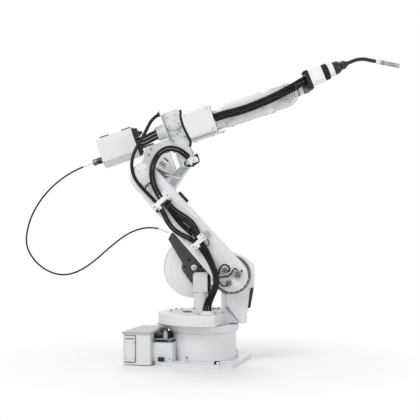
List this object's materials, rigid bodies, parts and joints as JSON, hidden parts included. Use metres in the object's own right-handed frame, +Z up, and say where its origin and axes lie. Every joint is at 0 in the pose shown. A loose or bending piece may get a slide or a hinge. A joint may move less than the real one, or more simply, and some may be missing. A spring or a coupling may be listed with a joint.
{
  "type": "industrial robot arm",
  "caption": "Floor-standing jointed welding robot arm with wire feeder, spool, hoses and a swan-neck torch on a bolted base plate.",
  "frame": {"origin": "on the floor, on axis 1, at the middle of the base plate's underside", "axes": "+Z up along axis 1; +X is where the arm points at axis 1 zero; +Y to its left; the arm is stored turned 15.5 degrees about +Z"},
  "size_m": [1.7585, 0.48, 1.4499],
  "materials": {
    "white_paint": "semi-gloss enamel",
    "clamp_plastic": "moulded nylon",
    "gear_steel": "machined",
    "dark_paint": "textured powder coat",
    "spool_plastic": "moulded",
    "black_plastic": "moulded",
    "black_rubber": "smooth jacket",
    "neck_metal": "black sleeve on brass",
    "nozzle_metal": "nickel plated"
  },
  "bodies": {
    "base": {"base_plate": "white_paint", "base_drum": "white_paint", "drum_flange": "white_paint", "cable_box": "white_paint", "cable_box_lid": "white_paint", "connector_box": "white_paint", "base_socket": "black_plastic", "stop_block": "white_paint"},
    "turntable": {"turntable": "white_paint", "shoulder_ear": "white_paint", "shoulder_gearbox": "gear_steel", "shoulder_motor": "dark_paint", "axis1_motor": "white_paint", "spool_bracket": "dark_paint", "spool_cover": "spool_plastic", "spool_hub": "spool_plastic", "hose_gland": "white_paint", "shoulder_hoses": "black_rubber", "conduit_lower": "black_rubber"},
    "lower_arm": {"lower_arm": "white_paint", "hub_connectors": "gear_steel", "elbow_gearbox": "gear_steel", "upper_clamp": "clamp_plastic", "lower_clamp": "clamp_plastic", "clamp_bracket": "black_plastic", "arm_bumper": "black_rubber", "arm_hoses": "black_rubber", "elbow_hoses": "black_rubber", "conduit_upper": "black_rubber"},
    "elbow": {"elbow_casting": "white_paint", "elbow_motor": "white_paint", "hose_duct": "white_paint", "hose_ports": "white_paint", "bulkhead_plate": "white_paint", "rear_sleeve": "white_paint", "cable_hood": "white_paint", "arm_housing": "white_paint", "housing_rail": "white_paint", "wire_feeder": "white_paint", "feeder_bracket": "black_plastic", "feeder_handles": "black_plastic", "feeder_inlet": "black_plastic", "feeder_leads": "black_rubber", "torch_leads_rear": "black_rubber"},
    "forearm": {"forearm_tube": "white_paint", "forearm_band": "white_paint", "wrist_covers": "white_paint", "torch_leads_middle": "black_rubber"},
    "wrist": {"wrist_block": "white_paint", "torch_leads_front": "black_rubber"},
    "torch": {"output_flange": "gear_steel", "tool_plate": "black_plastic", "torch_body": "spool_plastic", "torch_bellows": "black_rubber", "torch_ring": "spool_plastic", "torch_cap": "black_plastic", "swan_neck": "neck_metal", "gas_nozzle": "nozzle_metal"}
  },
  "joints": [
    {"name": "turn", "type": "hinge", "parent": "base", "child": "turntable", "pos_m": [0, 0, 0.19], "axis": [0, 0, 1], "range_deg": [-170, 170]},
    {"name": "shoulder", "type": "hinge", "parent": "turntable", "child": "lower_arm", "pos_m": [0.1272, 0.03528, 0.419], "axis": [-0.2672, 0.9636, 0], "range_deg": [-48, 65], "deforming": ["shoulder_hoses", "conduit_lower"]},
    {"name": "elbow", "type": "hinge", "parent": "lower_arm", "child": "elbow", "pos_m": [-0.2696, -0.07477, 0.88117], "axis": [0.2672, -0.9636, 0], "range_deg": [-40, 90], "deforming": ["elbow_hoses", "conduit_upper"]},
    {"name": "forearm_roll", "type": "hinge", "parent": "elbow", "child": "forearm", "pos_m": [0.07512, 0.02083, 1.16299], "axis": [0.9111, 0.2527, 0.3256], "range_deg": [-150, 150], "deforming": ["torch_leads_rear"]},
    {"name": "wrist_bend", "type": "hinge", "parent": "forearm", "child": "wrist", "pos_m": [0.38127, 0.10573, 1.27238], "axis": [0.2672, -0.9636, 0], "range_deg": [-115, 115], "deforming": ["torch_leads_middle"]},
    {"name": "tool_roll", "type": "hinge", "parent": "wrist", "child": "torch", "pos_m": [0.38127, 0.10573, 1.27238], "axis": [0.8935, 0.2478, 0.3746], "range_deg": [-180, 180], "deforming": ["torch_leads_front"]}
  ]
}
